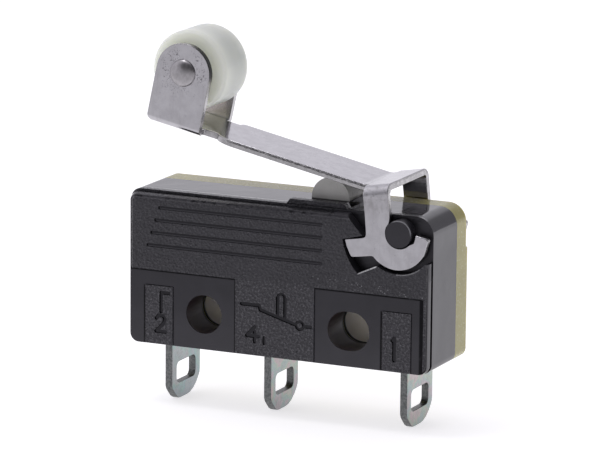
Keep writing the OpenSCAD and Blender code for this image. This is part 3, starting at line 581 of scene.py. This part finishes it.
def rounded(pts, radii, n=5):
    """Polygon with its corners rounded; radii is one number or a list."""
    out = []
    for i, p in enumerate(pts):
        r = radii if isinstance(radii, (int, float)) else radii[i]
        a, b, c2 = Vector(pts[i - 1]), Vector(p), Vector(pts[(i + 1) % len(pts)])
        if r <= 0:
            out.append(tuple(b))
            continue
        u, v = (a - b), (c2 - b)
        ang = u.angle(v)
        if ang > math.radians(158):
            out.append(tuple(b))
            continue
        t = min(r / math.tan(ang / 2), 0.49 * u.length, 0.49 * v.length)
        rr = t * math.tan(ang / 2)
        s0 = b + u.normalized() * t
        s1 = b + v.normalized() * t
        cc = b + (u.normalized() + v.normalized()).normalized() * (rr / math.sin(ang / 2))
        a0 = math.atan2(s0.y - cc.y, s0.x - cc.x)
        a1 = math.atan2(s1.y - cc.y, s1.x - cc.x)
        d = (a1 - a0 + math.pi) % (2 * math.pi) - math.pi
        for k in range(n + 1):
            q = a0 + d * k / n
            out.append((cc.x + rr * math.cos(q), cc.y + rr * math.sin(q)))
    return out


def ccw(pts):
    ar = sum(pts[i - 1][0] * pts[i][1] - pts[i][0] * pts[i - 1][1] for i in range(len(pts)))
    return pts if ar > 0 else pts[::-1]


def blank(outer, t, r, fold, cuts, name, mats2, holes=(), seg=3):
    """Plate with an outline (and holes), thickness t (top face at 0), edges rounded by r, folded by fold(u, v, w)."""
    bm = bmesh.new()
    lay_n = bm.verts.layers.float_vector.new("flat_normal")
    dep = bm.verts.layers.float.new("depth")
    caps = ([], [])
    for pts in [ccw(outer)] + [ccw(h)[::-1] for h in holes]:
        n = len(pts)
        base = [Vector(p) for p in pts]
        nor = []
        for i in range(n):
            e1 = (base[i] - base[i - 1]).normalized()
            e2 = (base[(i + 1) % n] - base[i]).normalized()
            nor.append(Vector((e1.y + e2.y, -e1.x - e2.x)).normalized())
        st = [(r * (1 - math.sin(k * math.pi / 2 / seg)), -r * (1 - math.cos(k * math.pi / 2 / seg)), k * math.pi / 2 / seg) for k in range(seg + 1)]
        rows = []
        for inset, w2, a2 in st + [(i2, -t - w3, math.pi - a3) for i2, w3, a3 in reversed(st)]:
            q = poly_offset(pts, inset)
            line = []
            for i in range(n):
                v = bm.verts.new((q[i][0], q[i][1], w2))
                v[lay_n] = Vector((nor[i].x * math.sin(a2), nor[i].y * math.sin(a2), math.cos(a2)))
                v[dep] = -w2 / t
                line.append(v)
            rows.append(line)
        for j in range(len(rows) - 1):
            for i in range(n):
                k = (i + 1) % n
                f = bm.faces.new((rows[j][i], rows[j + 1][i], rows[j + 1][k], rows[j][k]))
                f.material_index = 0 if j < seg - 1 else 1
        caps[0].append(rows[0])
        caps[1].append(rows[-1])
    for side in (0, 1):
        es = [bm.edges.get((line[i - 1], line[i])) for line in caps[side] for i in range(len(line))]
        res = bmesh.ops.triangle_fill(bm, use_beauty=True, use_dissolve=False, edges=es, normal=(0, 0, 1 - 2 * side))
        for f in res["geom"]:
            if isinstance(f, bmesh.types.BMFace):
                f.material_index = 0
    for co, no in cuts:
        bmesh.ops.bisect_plane(bm, geom=list(bm.verts) + list(bm.edges) + list(bm.faces), dist=1e-5, plane_co=co, plane_no=no)
    bmesh.ops.triangulate(bm, faces=[f for f in bm.faces if len(f.verts) > 4])
    bmesh.ops.recalc_face_normals(bm, faces=list(bm.faces))
    uvl = bm.loops.layers.uv.new("sheet")
    vn = []
    bm.verts.index_update()
    for v in bm.verts:
        u2, v2, w2 = v.co
        n = v[lay_n]
        if n.length < 0.3:
            n = Vector((0, 0, 1 if w2 > -t / 2 else -1))
        for l in v.link_loops:
            l[uvl].uv = (u2 * 0.05, v2 * 0.05)
        pt, eu, ev, ew = fold(u2, v2, w2)
        vn.append((eu * n.x + ev * n.y + ew * n.z).normalized())
        v.co = pt * MM
    me = bpy.data.meshes.new(name)
    bm.to_mesh(me)
    bm.free()
    for m2 in mats2:
        me.materials.append(m2)
    for p in me.polygons:
        p.use_smooth = True
    me.normals_split_custom_set([tuple(vn[l.vertex_index]) for l in me.loops])
    ob = bpy.data.objects.new(name, me)
    bpy.context.scene.collection.objects.link(ob)
    return ob


def bend(v, w, half, r):
    """Cross-section fold: v across the sheet, w height (0 at the outer face); past half - r the sheet turns through 90 degrees."""
    side = 1 if v >= 0 else -1
    a = abs(v)
    s0 = half - r
    if a <= s0:
        return v, w, (1.0, 0.0), (0.0, 1.0)
    q = min((a - s0) / r, math.pi / 2)
    rest = max(0.0, a - s0 - r * math.pi / 2)
    rad = r + w
    y = s0 + rad * math.sin(q) + rest * math.cos(q)
    z = -r + rad * math.cos(q) - rest * math.sin(q)
    return side * y, z, (math.cos(q), -side * math.sin(q)), (side * math.sin(q), math.cos(q))


LEG_R, LEG_H = 0.62, 3.05
EAR_R, EAR_H, EAR_Y = 0.46, 2.25, 0.10
KINK_R = 0.9
TL = KINK_R * math.tan((SA + SB) / 2)
KL = (KINK_R + T / 2) * (SA + SB)
UB = KL - TL                              # blank coordinate where the base starts
U_EAR = -((KX - RX) * math.cos(SA) + (RZ - KZ) * math.sin(SA))
KPT = Vector((KX + 4.7, 0.0, KZ - 2.15))


def strip(u, w):
    """Arm and base in side view: u along the sheet from the bend line, w height over its top face."""
    da, na = Vector((math.cos(SA), 0, -math.sin(SA))), Vector((math.sin(SA), 0, math.cos(SA)))
    if u <= -TL:
        return KPT + da * u + na * w, da, na
    c2 = KPT - da * TL + na * KINK_R
    q = min((u + TL) / (KINK_R + T / 2), SA + SB)
    rest = max(0.0, u - UB)
    d = Vector((math.cos(SA - q), 0, -math.sin(SA - q)))
    n = Vector((math.sin(SA - q), 0, math.cos(SA - q)))
    return c2 - n * (KINK_R - w) + d * rest, d, n


def lever_fold(u, v, w):
    tv, tn = (1.0, 0.0), (0.0, 1.0)
    yy = Vector((0, 1, 0))
    if u > UB or (abs(v) > 2.3 and u > -8):
        v, w, tv, tn = bend(v, w, LEG_H, LEG_R)
        d, n = Vector((math.cos(SB), 0, math.sin(SB))), Vector((-math.sin(SB), 0, math.cos(SB)))
        return KPT + d * (u - UB + TL) + n * w + yy * v, d, yy * tv[0] + n * tv[1], yy * tn[0] + n * tn[1]
    elif u < -10.5:
        y, zb, tb, nb = bend(v - EAR_Y, -T - w, EAR_H, EAR_R)
        v, w = y + EAR_Y, -T - zb
        tv, tn = (tb[0], -tb[1]), (-nb[0], nb[1])
    p, d, n = strip(u, w)
    return p + yy * v, d, yy * tv[0] + n * tv[1], yy * tn[0] + n * tn[1]


def build_lever():
    # legs: outline in X,Z -> blank
    def leg_uv(x, z, side):
        dx, dz = x - KX, z - KZ
        u = dx * math.cos(SB) + dz * math.sin(SB) + UB - TL
        d = dx * math.sin(SB) - dz * math.cos(SB)
        return (u, side * (LEG_H - LEG_R + LEG_R * math.pi / 2 + (d - LEG_R)))
    pvx, pvz, hr, ho = 7.95, 8.32, 0.88, 1.97
    leg = [(7.17, 10.90), (7.20, 10.5), (7.25, 10.0), (7.30, 9.5), (7.325, 9.15), (7.29, 8.86)]
    leg += arc(pvx, pvz, hr, 159.0, 317.0, 18)
    leg += [(8.87, 7.84), (8.94, 8.05), (8.99, 8.33), (9.45, 8.25), (9.68, 8.19), (9.75, 8.13), (9.78, 8.03), (9.77, 7.95), (9.69, 7.68), (9.61, 7.36)]
    leg += arc(7.80, 8.08, ho, -26.5, -139.0, 22)
    leg += [(6.20, 6.815), (5.6, 6.73), (5.0, 6.64), (4.90, 6.65), (4.83, 6.72), (4.64, 7.10), (4.56, 7.28), (4.46, 7.62), (4.50, 7.69), (5.2, 7.80), (5.64, 7.88), (5.76, 7.94), (5.80, 8.06), (5.80, 8.30), (5.72, 9.3), (5.61, 10.2), (5.56, 10.80)]
    rear = [leg_uv(x, z, 1) for x, z in leg]
    front = [leg_uv(x, z, -1) for x, z in leg][::-1]
    ur, ul = rear[0][0] + 0.035, rear[-1][0]
    ux = lambda x: -(KX - x) / math.cos(SA)
    # ears: round ends on straight sides
    er = 1.79
    k = EAR_H - EAR_R + EAR_R * math.pi / 2 - EAR_R
    vc = k + EAR_D
    ear = [(er, 1.40), (er, k + 1.2)] + arc(0, vc, er, 0, 180, 26) + [(-er, k + 1.2), (-er, k + 0.42), (-er + 0.03, k + 0.24), (-er + 0.12, k + 0.08), (-er + 0.22, k - 0.10), (-er + 0.28, k - 0.5)]
    ear_r = [(U_EAR + a, EAR_Y + b2) for a, b2 in ear]
    ear_f = [(U_EAR + a, EAR_Y - b2) for a, b2 in ear][::-1]
    out = []
    out += [(ux(-3.40), -2.0), (-6.0, -2.0), (-2.0, -2.0), (ul - 0.45, -2.0), (ul - 0.16, -2.0), (ul - 0.05, -2.05), (ul, -2.17)]
    out += front
    out += [(ur - 0.02, -2.4), (ur, -1.9), (ur + 0.025, -1.1), (ur - 0.01, -0.3), (ur + 0.02, 0.5), (ur - 0.005, 1.3), (ur, 2.0), (ur - 0.02, 2.4)]
    out += rear
    out += [(ul, 2.17), (ul - 0.05, 2.05), (ul - 0.16, 2.0), (ul - 0.45, 2.0), (-2.0, 2.0), (-6.0, 2.0)]
    out += arc(ux(-4.32), 1.70, 0.30, 90, 180, 5) + [(ux(-4.62), 1.63 + 0.05), (ux(-4.66), 1.63)]
    out += [(U_EAR + er + 0.05, 1.63), (U_EAR + er, 1.66)] + ear_r[1:]
    out += [(U_EAR - er + 0.28, 0.6), (U_EAR - er + 0.28, -0.4)]
    out += ear_f[:-1] + [(U_EAR + er, -1.46), (U_EAR + er + 0.05, -1.43), (ux(-4.62), -1.43), (ux(-4.58), -1.50), (ux(-4.50), -1.60), (ux(-4.36), -1.71), (ux(-4.18), -1.81), (ux(-3.95), -1.90), (ux(-3.70), -1.96)]
    out = rounded(out, 0.05, 4)
    clean = []
    for q in out:
        if not clean or (Vector(q) - Vector(clean[-1])).length > 0.012:
            clean.append(q)
    cuts = []
    for i in range(9):
        vv = LEG_H - LEG_R + LEG_R * math.pi / 2 * i / 8
        cuts += [(Vector((0, sg * vv, 0)), Vector((0, 1, 0))) for sg in (1, -1)]
    for i in range(8):
        vv = EAR_H - EAR_R + EAR_R * math.pi / 2 * i / 7
        cuts += [(Vector((0, EAR_Y + sg * vv, 0)), Vector((0, 1, 0))) for sg in (1, -1)]
    for i in range(7):
        cuts.append((Vector((-TL + KL * i / 6, 0, 0)), Vector((1, 0, 0))))
    return blank(clean, T, 0.05, lever_fold, cuts, "lever_fine", [mats["stainless"], mats["sheared_edge"]])


place(build_lever(), "lever")


def term_edge(c, n):
    return abs(n.x) < 0.5


for n in ("com_terminal", "no_terminal", "nc_terminal"):
    refined(n, 0.06, 2, edge_mat="terminal_edge", edge_test=term_edge)

# roller with rounded rims
c = P(-6.64, 3.46, 16.51)
w, r, f = 1.56, 2.45, 0.24
prof = [(0.66, -w), (0.80, -w)] + [(0.95, -w + 0.0)] + arc(r - f, -w + f, f, -90, 0, 8) + arc(r - f, w - f, f, 0, 90, 8) + [(0.95, w), (0.80, w), (0.66, w)]
ob = lathe("roller_fine", c, prof, 128)
face_normals(ob.data, 30)
place(ob, "roller", mats["roller_nylon"])

# riveted pin with low domed heads
c = P(-6.64, 3.30, 16.51)
ye, hr = 2.25, 0.84
dome = [(hr * math.sin(math.radians(a)) , -ye - 0.31 * math.cos(math.radians(a)) ** 1.0) for a in (0, 8, 16, 24, 32, 40, 48, 56, 63, 70, 77, 84)] + [(hr, -ye - 0.012), (hr, -ye)]
prof = dome + [(0.60, -ye), (0.60, ye)] + [(a, -b) for a, b in reversed(dome)]
ob = lathe("roller_pin_fine", c, prof, 72)
place(ob, "roller_pin", mats["pin_steel"])

for n, o in frame["nodes"].items():
    o.data.materials.clear()
    o.data.materials.append(mats[slots[n]])

# ---------------------------------------------------------------- stage
floor_me = bpy.data.meshes.new("floor")
bm = bmesh.new()
bmesh.ops.create_circle(bm, cap_ends=True, segments=96, radius=3.0)
bm.to_mesh(floor_me)
bm.free()
floor = bpy.data.objects.new("floor", floor_me)
bpy.context.scene.collection.objects.link(floor)
floor.location = (0, 0, -5.98 * MM)
m = Mat("floor_white")
x, y = m.axis("X"), m.axis("Y")
glow = m.rng(y, -34.0, -13.0, 0.34, 0.68)
glow = m.math("ADD", glow, m.math("MULTIPLY", m.math("MULTIPLY", m.rng(y, 2.0, 16.0), m.rng(x, 6.0, 20.0)), 0.22))
m.to("Emission Strength", glow)
m.set(Base_Color=(0.60, 0.60, 0.60), Roughness=0.95, Specular_IOR_Level=0.0, Emission_Color=(1.0, 0.99, 1.015))
floor_me.materials.append(m.m)

w = bpy.data.worlds.new("studio")
bpy.context.scene.world = w
w.use_nodes = True
wt = w.node_tree
bg = wt.nodes["Background"]
tc = wt.nodes.new("ShaderNodeTexCoord")
sx = wt.nodes.new("ShaderNodeSeparateXYZ")
wt.links.new(tc.outputs["Generated"], sx.inputs[0])


def w_range(v, a, b):
    n = wt.nodes.new("ShaderNodeMapRange")
    n.interpolation_type = "SMOOTHSTEP"
    n.inputs[1].default_value = a
    n.inputs[2].default_value = b
    wt.links.new(v, n.inputs[0])
    return n.outputs[0]


def w_math(op, a, b):
    n = wt.nodes.new("ShaderNodeMath")
    n.operation = op
    for i, q in enumerate((a, b)):
        if isinstance(q, (int, float)):
            n.inputs[i].default_value = q
        else:
            wt.links.new(q, n.inputs[i])
    return n.outputs[0]


dot = wt.nodes.new("ShaderNodeVectorMath"); dot.operation = "DOT_PRODUCT"
wt.links.new(tc.outputs["Generated"], dot.inputs[0])
dot.inputs[1].default_value = Vector((-0.05, -0.95, 0.30)).normalized()
side = w_math("MULTIPLY", w_range(sx.outputs[0], -0.06, 0.14), w_math("SUBTRACT", 1.0, w_math("MULTIPLY", w_range(sx.outputs[1], 0.2, 0.7), 0.50)))
shade = w_math("MAXIMUM", side, w_range(dot.outputs["Value"], 0.80, 0.93))
shade = w_math("MULTIPLY", shade, w_math("SUBTRACT", 1.0, w_range(sx.outputs[2], 0.78, 0.95)))
wt.links.new(w_math("SUBTRACT", 0.97, w_math("MULTIPLY", shade, 0.84)), bg.inputs[1])
bg.inputs[0].default_value = (1.0, 0.985, 1.05, 1)


def area(name, loc, target, size, power, size_y=None, color=(1, 1, 1)):
    l = bpy.data.lights.new(name, "AREA")
    l.shape = "RECTANGLE" if size_y else "SQUARE"
    l.size = size
    if size_y:
        l.size_y = size_y
    l.energy = power
    l.color = color
    o = bpy.data.objects.new(name, l)
    bpy.context.scene.collection.objects.link(o)
    o.location = loc
    o.rotation_euler = (Vector(target) - Vector(loc)).to_track_quat("-Z", "Y").to_euler()
    return o


area("key", (-0.075, -0.070, 0.27), (0.005, 0, 0.004), 0.065, 0.10)

# ---------------------------------------------------------------- camera
cam_d = bpy.data.cameras.new("camera")
cam = bpy.data.objects.new("camera", cam_d)
bpy.context.scene.collection.objects.link(cam)
bpy.context.scene.camera = cam
cam_d.sensor_width = 36
cam_d.lens = 4390.98 / 600 * 36
cam_d.clip_start = 0.01
cam_d.clip_end = 20
az, el, roll = math.radians(24.941), math.radians(12.023), math.radians(0.52)
back = Vector((math.sin(az) * math.cos(el), -math.cos(az) * math.cos(el), math.sin(el)))
fwd = -back
right = fwd.cross(Vector((0, 0, 1))).normalized()
up = right.cross(fwd)
R = math.cos(roll) * right + math.sin(roll) * up
U = -math.sin(roll) * right + math.cos(roll) * up
target = P(0.246, 3.0, 7.569)
loc = target + back * 262.301 * MM
cam.matrix_world = Matrix(((R.x, U.x, back.x, loc.x), (R.y, U.y, back.y, loc.y), (R.z, U.z, back.z, loc.z), (0, 0, 0, 1)))

bpy.context.scene.view_settings.view_transform = "Standard"
bpy.context.scene.view_settings.look = "None"
